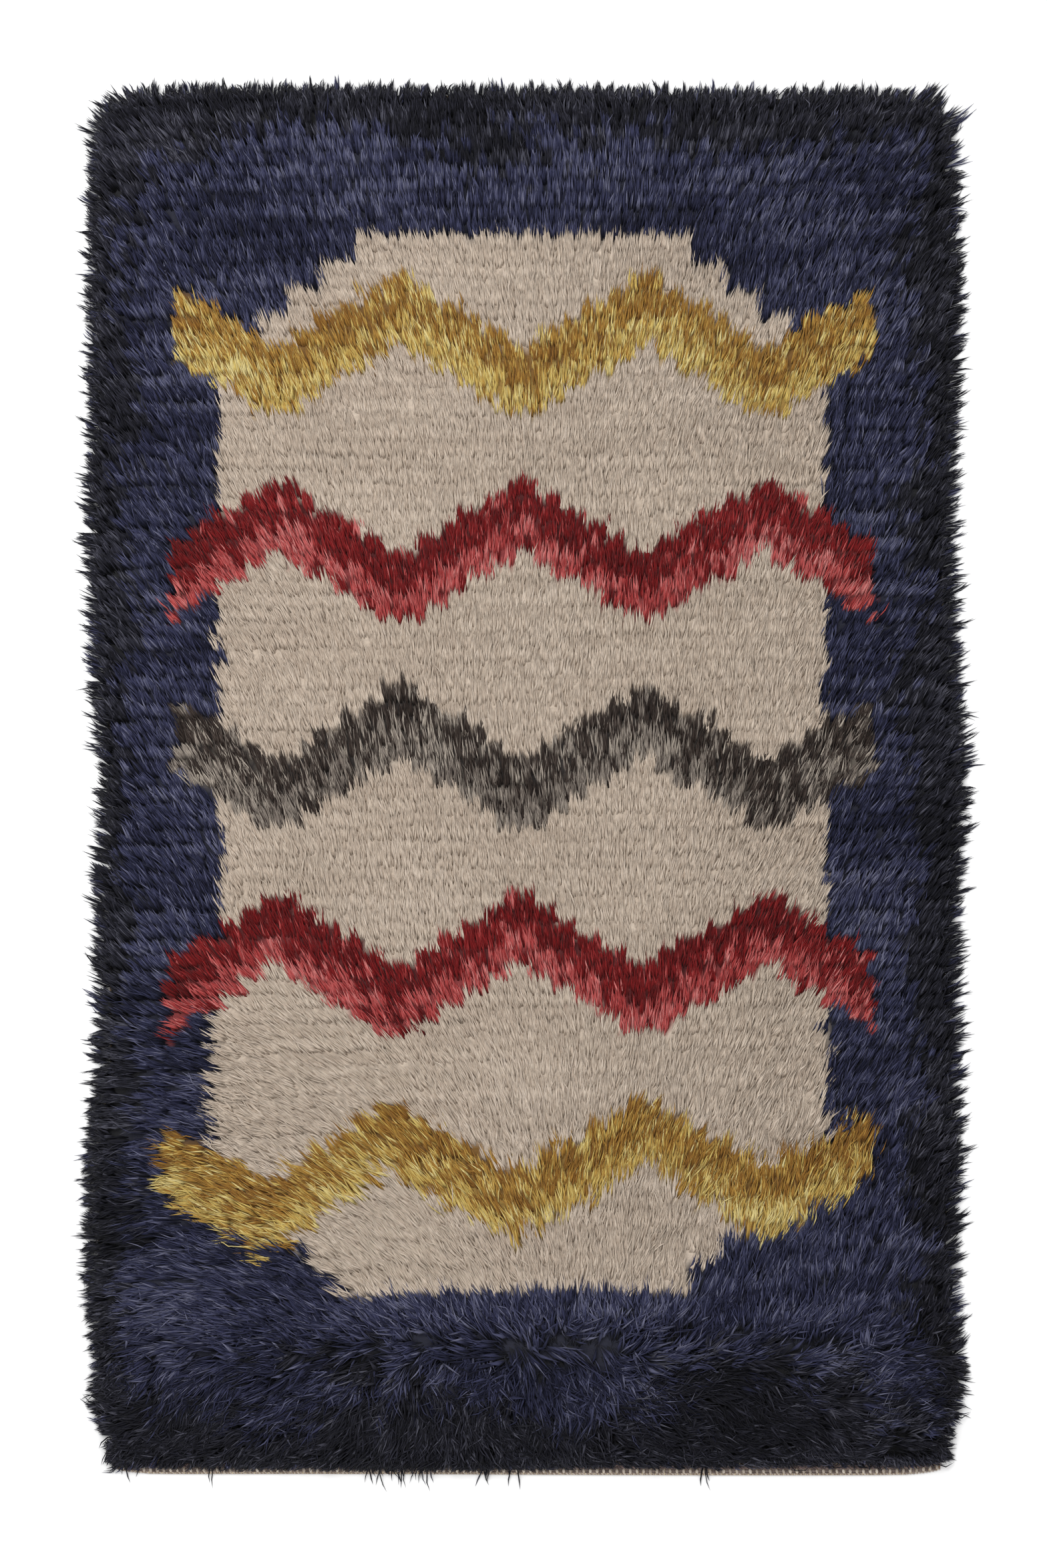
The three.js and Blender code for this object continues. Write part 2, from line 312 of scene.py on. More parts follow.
# %% [markdown]
# ## One yarn end, a hundred thousand times
#
# A yarn end is thin: it rises out of its knot, bends over and ends in a point. Most are
# closed leaves of only four faces, and the ones that stick out or curl are closed
# three-sided spindles. Functions make the arrays for any number of them at once. The UV
# map says two things: across, which shade of the dye bath the yarn has, and up, how far
# it is from its knot.

# %% Copy one small shape's faces for any number of copies
SHADES = 48


def copy_faces(corners, faces):
    """corners is (count, corners of one copy, 3); faces index the corners of one copy."""
    count, per_copy, _ = corners.shape
    pattern = np.array([corner for face in faces for corner in face])
    loops = (pattern + per_copy * np.arange(count)[:, None]).ravel()
    return corners.reshape(-1, 3), loops, np.tile([len(face) for face in faces], count)


def copy_yarn(corners, faces, face_uvs, shades):
    """Also lays out the UV map: each copy in the strip of its shade."""
    loop_uv = np.array([uv for face in face_uvs for uv in face])
    band = np.floor(np.clip(shades, 0, 0.9999) * SHADES)
    uv = np.empty((len(corners), len(loop_uv), 2))
    uv[:, :, 0] = (band[:, None] + 0.1 + 0.8 * loop_uv[:, 0]) / SHADES
    uv[:, :, 1] = 0.01 + 0.98 * loop_uv[:, 1]
    return *copy_faces(corners, faces), uv.reshape(-1, 2)


def side_and_up(heading):
    """For headings (..., 3), the directions to their right and above them."""
    heading = heading / np.linalg.norm(heading, axis=-1, keepdims=True)
    sideways = np.cross(heading, [0.0, 0.0, 1.0])
    sideways /= np.maximum(np.linalg.norm(sideways, axis=-1, keepdims=True), 1e-6)
    return sideways, np.cross(sideways, heading)


# %% A leaf: root, bend and tip, with a width at the bend
BEND_SHARE = 0.55
LEAST_ARCH = 0.6


def leaf_arrays(points, half_width, shades, rolls):
    """points is (count, 3, 3). The bend is kept above the line from root to tip."""
    root, bend, tip = points[:, 0], points[:, 1].copy(), points[:, 2]
    line = root[:, 2] + (tip[:, 2] - root[:, 2]) * BEND_SHARE
    bend[:, 2] = np.maximum(bend[:, 2], line + LEAST_ARCH)
    sideways, upward = side_and_up(tip - root)
    edge = sideways * np.cos(rolls)[:, None] + upward * np.sin(rolls)[:, None]
    edge *= half_width[:, None]
    corners = np.stack([root, bend + edge, bend - edge, tip], axis=1)
    faces = [(0, 1, 2), (2, 1, 3), (0, 2, 3), (0, 3, 1)]
    spot = [(0.5, 0.0), (1.0, BEND_SHARE), (0.0, BEND_SHARE), (0.5, 1.0)]
    face_uvs = [[spot[corner] for corner in face] for face in faces]
    return copy_yarn(corners, faces, face_uvs, shades)


# %% A spindle: a point, rings of three corners, and a point


def spindle_arrays(points, radii, shades, rolls):
    """points is (count, rings + 2, 3) and radii (count, rings)."""
    count, stations, _ = points.shape
    rings = stations - 2
    sideways, upward = side_and_up(points[:, 2:] - points[:, :-2])
    corners = np.empty((count, 3 * rings + 2, 3))
    corners[:, 0] = points[:, 0]
    corners[:, -1] = points[:, -1]
    for k in range(3):
        turn = (rolls + math.pi / 6 + k * 2 * math.pi / 3)[:, None, None]
        offset = sideways * np.cos(turn) + upward * np.sin(turn)
        corners[:, 1 + k:3 * rings + 1:3] = points[:, 1:-1] + offset * radii[:, :, None]

    faces = []
    face_uvs = []
    step = 1 / (rings + 1)
    last = 3 * rings - 2
    for k in range(3):
        other = (k + 1) % 3
        left, middle, right = k / 3, (k + 0.5) / 3, (k + 1) / 3
        faces.append((0, 1 + other, 1 + k))
        face_uvs.append([(middle, 0.0), (right, step), (left, step)])
        for ring in range(1, rings):
            low, near, far = 3 * ring - 2, ring * step, (ring + 1) * step
            faces.append((low + k, low + other, low + 3 + other, low + 3 + k))
            face_uvs.append([(left, near), (right, near), (right, far), (left, far)])
        faces.append((last + k, last + other, 3 * rings + 1))
        face_uvs.append([(left, 1 - step), (right, 1 - step), (middle, 1.0)])
    return copy_yarn(corners, faces, face_uvs, shades)


# %% Turn arrays into an object
UV_NAME = "OFBake"


def to_frame(points):
    """From millimetres of the plan to metres of the frame, in one row."""
    return ((points + [SHIFT_X, SHIFT_Y, 0]) / 1000).ravel()


def build_object(name, corners, loops, sizes, material, uv=None):
    mesh = bpy.data.meshes.new(name)
    mesh.vertices.add(len(corners))
    mesh.vertices.foreach_set("co", to_frame(corners))
    mesh.loops.add(len(loops))
    mesh.loops.foreach_set("vertex_index", loops)
    mesh.polygons.add(len(sizes))
    mesh.polygons.foreach_set("loop_start", np.cumsum(sizes) - sizes)
    mesh.polygons.foreach_set("loop_total", sizes)
    mesh.update(calc_edges=True)
    if uv is not None:
        mesh.uv_layers.new(name=UV_NAME).data.foreach_set("uv", uv.ravel())
    mesh.materials.append(material)
    piece = bpy.data.objects.new(name, mesh)
    scene.collection.objects.link(piece)
    print(f"{name}: {int((sizes - 2).sum())} triangles")
    return piece


def join_parts(name, parts, material):
    """Joins what copy_yarn gave for several kinds of yarn end."""
    starts = np.cumsum([0] + [len(part[0]) for part in parts[:-1]])
    loops = np.concatenate([part[1] + start for part, start in zip(parts, starts)])
    corners, _, sizes, uv = map(np.concatenate, zip(*parts))
    return build_object(name, corners, loops, sizes, material, uv)


# %% [markdown]
# ## Dyed wool
#
# Wool yarn is matt with a soft sheen: IOR 1.55, roughness about 0.6. Home-dyed yarn is
# never one colour, so each dye is a ramp of shades and each yarn end takes its own. On
# top of that its colour is painted darker towards its root, painted shade for the shadow
# among the roots, and paler at its tip, a painted highlight where light gets through the
# loosened fibres.

# %% Helpers for materials


def dye(code):
    """An sRGB hex colour as Blender's linear red, green, blue and alpha."""
    channels = [int(code[i:i + 2], 16) / 255 for i in (1, 3, 5)]
    linear = [c / 12.92 if c <= 0.04045 else ((c + 0.055) / 1.055) ** 2.4 for c in channels]
    return (*linear, 1.0)


def add_node(tree, kind, settings=None, inputs=None, links=None):
    """Adds a shader node; inputs are values by socket, links are source sockets by socket."""
    node = tree.nodes.new("ShaderNode" + kind)
    for key, value in (settings or {}).items():
        setattr(node, key, value)
    for key, value in (inputs or {}).items():
        node.inputs[key].default_value = value
    for key, source in (links or {}).items():
        tree.links.new(source, node.inputs[key])
    return node


def shade_ramp(tree, source, stops):
    """A Color Ramp node's colour for a value, from (position, colour) pairs."""
    node = add_node(tree, "ValToRGB", links={"Fac": source})
    ramp = node.color_ramp
    while len(ramp.elements) > 1:
        ramp.elements.remove(ramp.elements[-1])
    ramp.elements[0].position = stops[0][0]
    ramp.elements[0].color = stops[0][1]
    for position, value in stops[1:]:
        ramp.elements.new(position).color = value
    return node.outputs["Color"]


def even_stops(shades):
    return [(i / (len(shades) - 1), dye(code)) for i, code in enumerate(shades)]


def fibre_noise(tree, place, scale, detail, roughness=0.5):
    inputs = {"Scale": scale, "Detail": detail, "Roughness": roughness}
    return add_node(tree, "TexNoise", inputs=inputs, links={"Vector": place}).outputs["Fac"]


def map_range(tree, source, to_low, to_high, from_low=0, from_high=1):
    inputs = {"From Min": from_low, "From Max": from_high, "To Min": to_low, "To Max": to_high}
    return add_node(tree, "MapRange", inputs=inputs, links={"Value": source}).outputs["Result"]


def fleck(tree, colour, factor):
    """The colour made darker or paler by a factor."""
    links = {0: colour, "Scale": factor}
    return add_node(tree, "VectorMath", {"operation": "SCALE"}, links=links).outputs["Vector"]


# %% Every wool ends in the same surface
WOOL_IOR = 1.55


def wool_material(name, layers):
    """layers(tree) gives the colour, the height for the bump, its strength and depth in
    millimetres, and the Principled node's other values and links."""
    material = bpy.data.materials.new(name)
    material.use_nodes = True
    tree = material.node_tree
    tree.nodes.clear()
    colour, height, strength, depth_mm, inputs, links = layers(tree)
    bump = add_node(tree, "Bump", inputs={"Strength": strength, "Distance": depth_mm / 1000},
                    links={"Height": height})
    wool = add_node(tree, "BsdfPrincipled", inputs={"IOR": WOOL_IOR, **inputs},
                    links={"Base Color": colour, "Normal": bump.outputs["Normal"], **links})
    add_node(tree, "OutputMaterial", links={"Surface": wool.outputs["BSDF"]})
    return material


# %% Dyed yarn: a ramp of shades, painted shade at the root, painted highlight at the tip, fibres along it
WOOL_SPECULAR = 0.1
SHEEN_ROUGHNESS = 0.5
FIBRES_ACROSS_YARN = 5
FIBRES_ALONG_YARN = 2.5
SHADOW_END = 0.8


def wool_yarn(name, shades, root, tip, sheen):
    """root and tip say how bright the yarn's two ends are painted beside its dyed colour: painted shade
    at the root and a painted highlight at the tip.
    """

    def layers(tree):
        uv = add_node(tree, "UVMap", {"uv_map": UV_NAME}).outputs["UV"]
        parts = add_node(tree, "SeparateXYZ", links={"Vector": uv})
        dyed = shade_ramp(tree, parts.outputs["X"], even_stops(shades))
        # Painted shade and highlight along the yarn: darker at the root, full colour by SHADOW_END,
        # paler at the tip
        half_way = root + 0.4 * (1 - root)
        painted_light_stops = [(0.0, root), (0.5, half_way), (SHADOW_END, 1.0), (1.0, tip)]
        light = shade_ramp(tree, parts.outputs["Y"], [(place, (g, g, g, 1)) for place, g in painted_light_stops])
        lit = add_node(tree, "VectorMath", {"operation": "MULTIPLY"}, links={0: dyed, 1: light})
        fibre_scale = (SHADES * FIBRES_ACROSS_YARN, FIBRES_ALONG_YARN, 1)
        stretched = add_node(tree, "Mapping", inputs={"Scale": fibre_scale}, links={"Vector": uv})
        fibres = fibre_noise(tree, stretched.outputs["Vector"], 1, 2, 0.6)
        colour = fleck(tree, lit.outputs["Vector"], map_range(tree, fibres, 0.82, 1.16, 0.3, 0.7))
        surface = {"Specular IOR Level": WOOL_SPECULAR, "Sheen Weight": sheen,
                   "Sheen Roughness": SHEEN_ROUGHNESS}
        return colour, fibres, 0.3, 0.4, surface, {"Roughness": map_range(tree, fibres, 0.55, 0.78)}

    return wool_material(name, layers)


# %% The dye baths
NAVY_SHADES = ["#0c0c13", "#16161f", "#23232c", "#30303c", "#565662"]
BLUE_SHADES = ["#131426", "#212339", "#353753", "#4c4e69", "#6d6e85"]
OATMEAL_SHADES = ["#b5a595", "#bcac9c", "#c1b2a2", "#c6b7a7", "#cbbcad"]
GOLD_SHADES = ["#6f4b1e", "#845b25", "#9b7231", "#b38e45", "#cab266", "#dccd93"]
RED_SHADES = ["#4e080b", "#6c0d10", "#7f1719", "#a8403f", "#bc5d5b", "#cf8480"]
BROWN_SHADES = ["#231b18", "#352b26", "#4b413b", "#766c64", "#958b81", "#b0a598"]
# After the shades come painted shade at the root, painted highlight at the tip, and the sheen
navy_wool = wool_yarn("navy_black_wool", NAVY_SHADES, 0.25, 1.35, 0.03)
blue_wool = wool_yarn("indigo_blue_wool", BLUE_SHADES, 0.25, 1.35, 0.04)
oatmeal_wool = wool_yarn("oatmeal_undyed_wool", OATMEAL_SHADES, 0.88, 1.01, 0.08)
gold_wool = wool_yarn("gold_dyed_wool", GOLD_SHADES, 0.62, 1.12, 0.08)
red_wool = wool_yarn("red_dyed_wool", RED_SHADES, 0.58, 1.12, 0.08)
brown_wool = wool_yarn("brown_grey_wool", BROWN_SHADES, 0.6, 1.15, 0.06)
print("wool materials:", len(bpy.data.materials))

# %% [markdown]
# ## Growing the pile
#
# Each knot throws out thirteen yarn ends. They lean the same way with a little disorder
# and draw together at their tips, which makes the pointed locks. Each yarn end climbs as
# it goes, so that its tip rests on the roots of the rows beyond. One that reaches past
# the edge has nothing under it and droops.

# %% How far a place lies outside the pile's plan, or outside the ground weave


def past_edge(x, y, inset=0, woven_end=0):
    along = np.clip((y + PILE_LENGTH / 2) / PILE_LENGTH, 0, 1)
    left, _ = plan(0, along)
    right, _ = plan(1, along)
    across = np.clip((x - left) / (right - left), 0, 1)
    _, bottom = plan(across, 0)
    _, top = plan(across, 1)
    past_sides = np.maximum(left - x, x - right)
    past_ends = np.maximum(bottom - woven_end - y, y - top + inset)
    return np.maximum(past_sides + inset, past_ends)


# %% Yarn ends that reach past the edge droop, onto the weave and then onto the floor
DROOP_START = -14
DROOP_SLOPE = 0.75
LOWEST_ON_WEAVE = 4.6
LOWEST_ON_FLOOR = 1.3


def droop(x, y, z):
    fall = DROOP_SLOPE * np.clip(past_edge(x, y) - DROOP_START, 0, None)
    past_weave = past_edge(x, y, PILE_OVERHANG, WOVEN_END)
    lowest = np.interp(past_weave, [1, 5], [LOWEST_ON_WEAVE, LOWEST_ON_FLOOR])
    return np.maximum(z - fall, lowest)


# %% Where on its dye ramp each yarn lies, in the chart's order of yarns
LOW_SHADE = np.array([0, 0, 0, 0.14, 0.6, 0, 0.5, 0, 0.5])
HIGH_SHADE = np.array([1, 1, 1, 0.64, 1, 0.5, 1, 0.45, 1])


def shades_of(yarn, level):
    """level is 0 for the darkest shade of a yarn and 1 for its palest."""
    return LOW_SHADE[yarn] + (HIGH_SHADE - LOW_SHADE)[yarn] * np.clip(level, 0, 1)


# %% One function grows yarn ends from any set of roots
RISE_SHARES = [0, 0.35, BEND_SHARE, 0.7, 1]
RISE_HEIGHTS = [9, 18, 21, 25, 24.5]
SPINDLE_SHARES = [0, 0.36, 0.72, 1]


def heading_of(turn):
    """The direction across the rug of each turn in radians from +Y."""
    return np.stack([np.sin(turn), np.cos(turn)], axis=1)


def grow(root, angle, reach, lift, shares, bow, gather=0):
    """Points of yarn ends. root is (count, 2), angle in degrees, gather moves the tips."""
    heading = heading_of(np.radians(angle))
    across = np.stack([heading[:, 1], -heading[:, 0]], axis=1)
    points = np.empty((len(root), len(shares), 3))
    for k, share in enumerate(shares):
        sideways = bow * math.sin(math.pi * share)
        spot = root + heading * (reach * share)[:, None] + across * sideways[:, None] + gather * share
        rise = np.interp(share, RISE_SHARES, RISE_HEIGHTS)
        points[:, k, :2] = spot
        points[:, k, 2] = droop(spot[:, 0], spot[:, 1], rise + lift * min(2 * share, 1))
    return points


# %% Tufts beside the woven end stop short of it, so that the band stays in view
SHORTEST_REACH = 11


def stop_at_band(root, angle, reach, beyond):
    """beyond says how far each tip may pass the pile's edge at the woven end."""
    along = np.cos(np.radians(angle))
    across = np.clip((root[:, 0] + PILE_WIDTH / 2) / PILE_WIDTH, 0, 1)
    _, edge = plan(across, 0)
    room = (root[:, 1] - edge + beyond) / np.maximum(-along, 1e-3)
    limit = np.where(along < 0, np.maximum(room, SHORTEST_REACH), reach)
    return np.minimum(reach, limit)


def band_cover(x):
    """How far the pile reaches over the band: farthest at the left corner, least at the right."""
    at_left = 1 - smoothstep(x, -120, 160)
    at_corner = 1 - smoothstep(x, -560, -490)
    at_right = smoothstep(x, 250, 400)
    return chance.uniform(-5, 4, x.shape) + 6 * at_left + 14 * at_corner - 2.5 * at_right


# %% Each row of knots wanders, and swells and sinks along its length
ROW_WANDER = 1.8
ROW_SWELL = 1.3
ROW_REACH = 0.07
ROW_APART = 400.0
row_place = knot_row * ROW_APART
row_wander = ROW_WANDER * patches(knot_x, row_place, 210, 300, 44)
row_swell = ROW_SWELL * patches(knot_x, row_place, 170, 300, 43)
row_reach = ROW_REACH * patches(knot_x, row_place, 120, 300, 45)
print(f"rows swell from {row_swell.min():.1f} to {row_swell.max():.1f} mm")

# %% How each knot's tuft lies: its lean, reach, height and shade
REACH = 42
REACH_UNEVEN = 0.07
CORNER_SHORTER = (0.12, 0.22)
TOP_SHORTER = 0.3
LOWER_LONGER = 0.26
SIDE_SHORTER = 0.25
PARTING_MESS = 15
PARTING_DIP = 3
PARTING_HALF_WIDTH = 22
MIDDLE_SHADE = 0.45
PATCH_SHADE = 0.14
KNOT_SHADE = 0.07
ROW_SHADE = 0.19


def swell(x, y):
    return 1.5 * patches(x, y, 130, 70, 41)


knot_spot = np.stack([knot_x, knot_y + row_wander], axis=1)
messy_parting = PARTING_Y + PARTING_MESS * chance.normal(0, 1, knots)
untidy = disorder(knot_x, knot_y)
knot_angle = lean(knot_x, knot_y, messy_parting) + chance.normal(0, 1, knots) * untidy
knot_reach = REACH * (1 + row_reach + REACH_UNEVEN * chance.normal(0, 1, knots))
at_corner = smoothstep(np.abs(knot_x), 500, 590) * smoothstep(-knot_y, 800, 880)
at_top = smoothstep(knot_y, 890, 950)
knot_reach *= 1 - np.where(knot_x < 0, *CORNER_SHORTER) * at_corner - TOP_SHORTER * at_top
inside = -past_edge(knot_x, knot_y)
knot_reach *= 1 + LOWER_LONGER * smoothstep(-knot_y, 300, 700) * smoothstep(inside, 40, 90)
knot_reach *= 1 - SIDE_SHORTER * (1 - smoothstep(inside, 12, 50)) * (np.abs(knot_x) > 540)
knot_lift = row_swell + swell(knot_x, knot_y)
knot_lift -= PARTING_DIP * np.exp(-((knot_y - PARTING_Y) / PARTING_HALF_WIDTH) ** 2)
knot_shade = MIDDLE_SHADE + PATCH_SHADE * patches(knot_x, knot_y, 190, 60, 31)
knot_shade += chance.normal(0, KNOT_SHADE, knots)
knot_shade += ROW_SHADE * patches(knot_x, row_place, 100, 300, 46)
print(f"tufts reach {knot_reach.min():.0f} to {knot_reach.max():.0f} mm")

# %% The pile: thirteen yarn ends a knot, and more to fill the parting
ENDS_PER_KNOT = 13
SCATTER_X = 6
SCATTER_Y = 4
GATHER = 0.35
PARTING_ZONE = 48
PARTING_ENDS = 5500
PARTING_SCATTER = 2.5
PARTING_STRAY = 24
PARTING_REACH = 0.75
HALF_WIDTH = 1.35
THIN_REACH = [12, 34]
PALE_SHARE = 0.14
PALE_STEP = 0.34
STRAND_MIX = np.array([0, 0, 0, 0.16, 0.14, 0.04, 0.1, 0.14, 0.18])

owner = np.repeat(np.arange(knots), ENDS_PER_KNOT)
below_parting = np.flatnonzero(knot_y < PARTING_Y + PARTING_ZONE)
owner = np.concatenate([owner, chance.choice(below_parting, PARTING_ENDS)])
count = owner.size
filling = np.arange(count) >= count - PARTING_ENDS
scatter_x = chance.uniform(-SCATTER_X, SCATTER_X, count)
scatter_y = chance.uniform(-SCATTER_Y, SCATTER_Y, count)
scatter = np.stack([scatter_x, scatter_y * np.where(filling, PARTING_SCATTER, 1)], axis=1)
root = knot_spot[owner] + scatter
loose = 2.5 + 0.35 * untidy
neat = np.maximum(smoothstep(np.abs(knot_x), 390, 480), smoothstep(knot_y, 700, 800))
uneven = 0.28 - 0.18 * neat
loose = np.where(filling, PARTING_STRAY, loose[owner])
end_angle = knot_angle[owner] + chance.normal(0, 1, count) * loose
end_reach = knot_reach[owner] * (0.92 + uneven[owner] * chance.uniform(-1, 0.9, count))
end_reach[filling] *= PARTING_REACH
end_reach = stop_at_band(root, end_angle, end_reach, band_cover(root[:, 0]))
end_lift = knot_lift[owner] + chance.normal(0, 1, count) * (0.5 + 0.05 * untidy[owner])
end_bow = chance.normal(0, 1, count) * (1.4 + 0.06 * untidy[owner])
gather = -GATHER * scatter * ~filling[:, None]
leaves = grow(root, end_angle, end_reach, end_lift, [0, BEND_SHARE, 1], end_bow, gather)
leaf_width = HALF_WIDTH * chance.uniform(0.7, 1.15, count)
leaf_width *= np.interp(end_reach, THIN_REACH, [0.5, 1])
leaf_roll = chance.normal(0, 0.3, count)
leaf_yarn = knot_yarn[owner]
swapped = chance.random(count) < STRAND_MIX[leaf_yarn]
leaf_yarn = np.where(swapped, PARTNER[leaf_yarn], leaf_yarn)
leaf_level = knot_shade[owner] + chance.normal(-0.04, 0.22, count)
# A share of the ends are paler: partly paler strands of yarn, partly painted highlight on single strands
leaf_level += PALE_STEP * (chance.random(count) < PALE_SHARE)
leaf_shade = shades_of(leaf_yarn, leaf_level)
print(f"{count} yarn ends, tips {leaves[:, 2, 2].min():.1f} to {leaves[:, 2, 2].max():.1f} mm high")

# %% Stray ends: longer and curved, on top of the rest, most of them where the pile is untidy
STRAYS = 8000
STRAY_RIM_SHORTER = 0.4
spindles = []


def add_spindles(root, angle, reach, lift, bow, yarn, level):
    spindles.append((grow(root, angle, reach, lift, SPINDLE_SHARES, bow), yarn, level))


picked = chance.choice(knots, STRAYS, p=untidy / untidy.sum())
stray_root = knot_spot[picked] + chance.uniform(-5, 5, (STRAYS, 2))
stray_angle = knot_angle[picked] + chance.normal(0, 1, STRAYS) * (5 + 0.45 * untidy[picked])
stray_reach = REACH * chance.uniform(0.8, 1.25, STRAYS) * (1 + 0.018 * untidy[picked])
near_rim = smoothstep(past_edge(stray_root[:, 0], stray_root[:, 1]), -60, -25)
stray_reach *= 1 - STRAY_RIM_SHORTER * near_rim
stray_reach = stop_at_band(stray_root, stray_angle, stray_reach, band_cover(stray_root[:, 0]))
stray_bow = chance.normal(0, 1, STRAYS) * (2.5 + 0.3 * untidy[picked])
stray_lift = knot_lift[picked] + chance.normal(0.6, 1.0, STRAYS)
# Strays are a little paler than their knots: partly paler yarn, partly painted highlight
stray_level = knot_shade[picked] + chance.normal(0.06, 0.2, STRAYS)
add_spindles(stray_root, stray_angle, stray_reach, stray_lift, stray_bow, knot_yarn[picked], stray_level)

# %% [markdown]
# ## The rim
#
# All round the rug the outermost tufts hang over the edge of the weave and lie on the
# floor in thin wisps. They grow from roots along the plan's edge and at several depths,
# so that the edge looks full from the side as well as from above.

# %% Walk round the plan
LOOP_STEPS = 400
turns = np.linspace(0, 4, 4 * LOOP_STEPS, endpoint=False)
side_number = np.floor(turns).astype(int)
along_side = turns - side_number
loop_u = np.choose(side_number, [along_side, 1, 1 - along_side, 0])
loop_v = np.choose(side_number, [0, along_side, 1, 1 - along_side])
loop = np.stack(plan(loop_u, loop_v), axis=1)
step_along = np.roll(loop, -1, axis=0) - loop
step_length = np.linalg.norm(step_along, axis=1)
travelled = np.cumsum(step_length)
tangent = step_along / step_length[:, None]
outward = np.stack([tangent[:, 1], -tangent[:, 0]], axis=1)
print(f"the rim is {travelled[-1] / 1000:.2f} m long")

# %% Locks along the rim: four for each row of knots, one of them long
LOCK_PITCH = ROW_PITCH / 4
LOCK_STRAY = 12
OUTWARD_PULL = 0.45
TUFT_PULL = 0.3
LONG_LOCK = (21, 27, 35)
SHORT_LOCK = (8, 20)
LEFT_MIDDLE_EXTRA = 8
TOP_LOCK_SHARE = 0.72
TOP_CORNER_EXTRA = 22
RIGHT_EXTRA = 9
LOWER_LOCK_SHORTER = 0.25
LOWER_CORNER_SHORTER = (0.3, 0.4)
LOCKS = int(travelled[-1] / LOCK_PITCH)
lock_travel = (np.arange(LOCKS) + chance.uniform(0.15, 0.85, LOCKS)) * LOCK_PITCH
lock_place = np.searchsorted(travelled, lock_travel)
lock_spot = loop[lock_place]
lock_x, lock_y = lock_spot.T
lock_outward = outward[lock_place]
lock_tangent = tangent[lock_place]
pull = OUTWARD_PULL * lock_outward + heading_of(np.radians(lean(lock_x, lock_y)))
lock_turn = np.arctan2(pull[:, 0], pull[:, 1]) + np.radians(chance.normal(0, LOCK_STRAY, LOCKS))
long_reach = chance.triangular(*LONG_LOCK, LOCKS)
lock_reach = np.where(np.arange(LOCKS) % 4 == 0, long_reach, chance.uniform(*SHORT_LOCK, LOCKS))
lock_reach += LEFT_MIDDLE_EXTRA * (lock_x < 0) * (1 - smoothstep(np.abs(lock_y), 380, 480))
lock_reach = np.where(loop_v[lock_place] > 0.995, TOP_LOCK_SHARE * lock_reach, lock_reach)
lock_reach += TOP_CORNER_EXTRA * smoothstep(np.abs(lock_x), 530, 570) * (lock_y > 900)
lock_reach += RIGHT_EXTRA * smoothstep(lock_x, 520, 570)
lock_reach *= 1 - LOWER_LOCK_SHORTER * smoothstep(-lock_y, 650, 800)
at_corner = smoothstep(np.abs(lock_x), 540, 580) * smoothstep(-lock_y, 840, 930)
lock_reach *= 1 - np.where(lock_x < 0, *LOWER_CORNER_SHORTER) * at_corner
lock_tip = lock_spot + heading_of(lock_turn) * lock_reach[:, None]
tuft_tip = lock_tip[np.arange(LOCKS) // 4 * 4]
lock_tip += TUFT_PULL * (tuft_tip - lock_tip)
print(f"{LOCKS} locks round the rim")

# %% Seven wisps make a lock: they start apart and draw together at its tip
WISPS_PER_LOCK = 7
LOCK_HALF_WIDTH = 3.6
LOCK_DEPTH = (4, 27)
NAVY_LOCKS = 0.85
lock = np.repeat(np.arange(LOCKS), WISPS_PER_LOCK)
wisps = lock.size
wisp_root = lock_spot[lock] - lock_outward[lock] * chance.uniform(*LOCK_DEPTH, wisps)[:, None]
wisp_root += lock_tangent[lock] * chance.uniform(-LOCK_HALF_WIDTH, LOCK_HALF_WIDTH, wisps)[:, None]
wisp_line = lock_tip[lock] + chance.normal(0, 1.4, (wisps, 2)) - wisp_root
wisp_angle = np.degrees(np.arctan2(wisp_line[:, 0], wisp_line[:, 1])) + chance.normal(0, 4, wisps)
wisp_reach = np.linalg.norm(wisp_line, axis=1) * chance.uniform(0.66, 1.06, wisps)
wisp_reach = stop_at_band(wisp_root, wisp_angle, wisp_reach, band_cover(wisp_root[:, 0]))
wisp_lift = chance.uniform(-7, 0, wisps)
wisp_bow = chance.normal(0, 1.2, wisps) + chance.normal(0, 2.2, LOCKS)[lock]
wisp_yarn = np.where(chance.random(LOCKS) < NAVY_LOCKS, NAVY, BLUE)[lock]
wisp_level = chance.normal(0.5, 0.26, wisps)
add_spindles(wisp_root, wisp_angle, wisp_reach, wisp_lift, wisp_bow, wisp_yarn, wisp_level)

# %% A few long strands hang over the woven band, alone or in twos and threes
HANGING_X = [-560, -430, -212, -205, -196, -188, -165, -158, -142, -138, -128, -52, -45, -12, 260]
HANGING_EACH = 3
hanging_x = np.repeat(np.array(HANGING_X, float), HANGING_EACH)
hanging = hanging_x.size
hanging_x += chance.normal(0, 2.5, hanging)
_, hanging_y = plan(hanging_x / PILE_WIDTH + 0.5, 0)
hanging_root = np.stack([hanging_x, hanging_y + chance.uniform(4, 16, hanging)], axis=1)
hanging_angle = chance.normal(184, 14, hanging)
hanging_reach = chance.uniform(20, 46, hanging)
hanging_lift = chance.uniform(-6, -2, hanging)
hanging_bow = chance.normal(3, 2.5, hanging)
hanging_level = chance.normal(0.4, 0.2, hanging)
add_spindles(hanging_root, hanging_angle, hanging_reach, hanging_lift, hanging_bow,
             np.full(hanging, NAVY), hanging_level)

# %% Gather the spindles
SPINDLE_RADIUS = 1.15
SPINDLE_RINGS = np.array([1.0, 0.85])
spindle_points, spindle_yarn, spindle_level = map(np.concatenate, zip(*spindles))
spindle_shade = shades_of(spindle_yarn, spindle_level)
spindle_roll = chance.normal(0, 0.5, len(spindle_yarn))
spindle_radii = SPINDLE_RADIUS * SPINDLE_RINGS * chance.uniform(0.7, 1.15, (len(spindle_yarn), 1))
print(f"{len(spindle_yarn)} spindles")

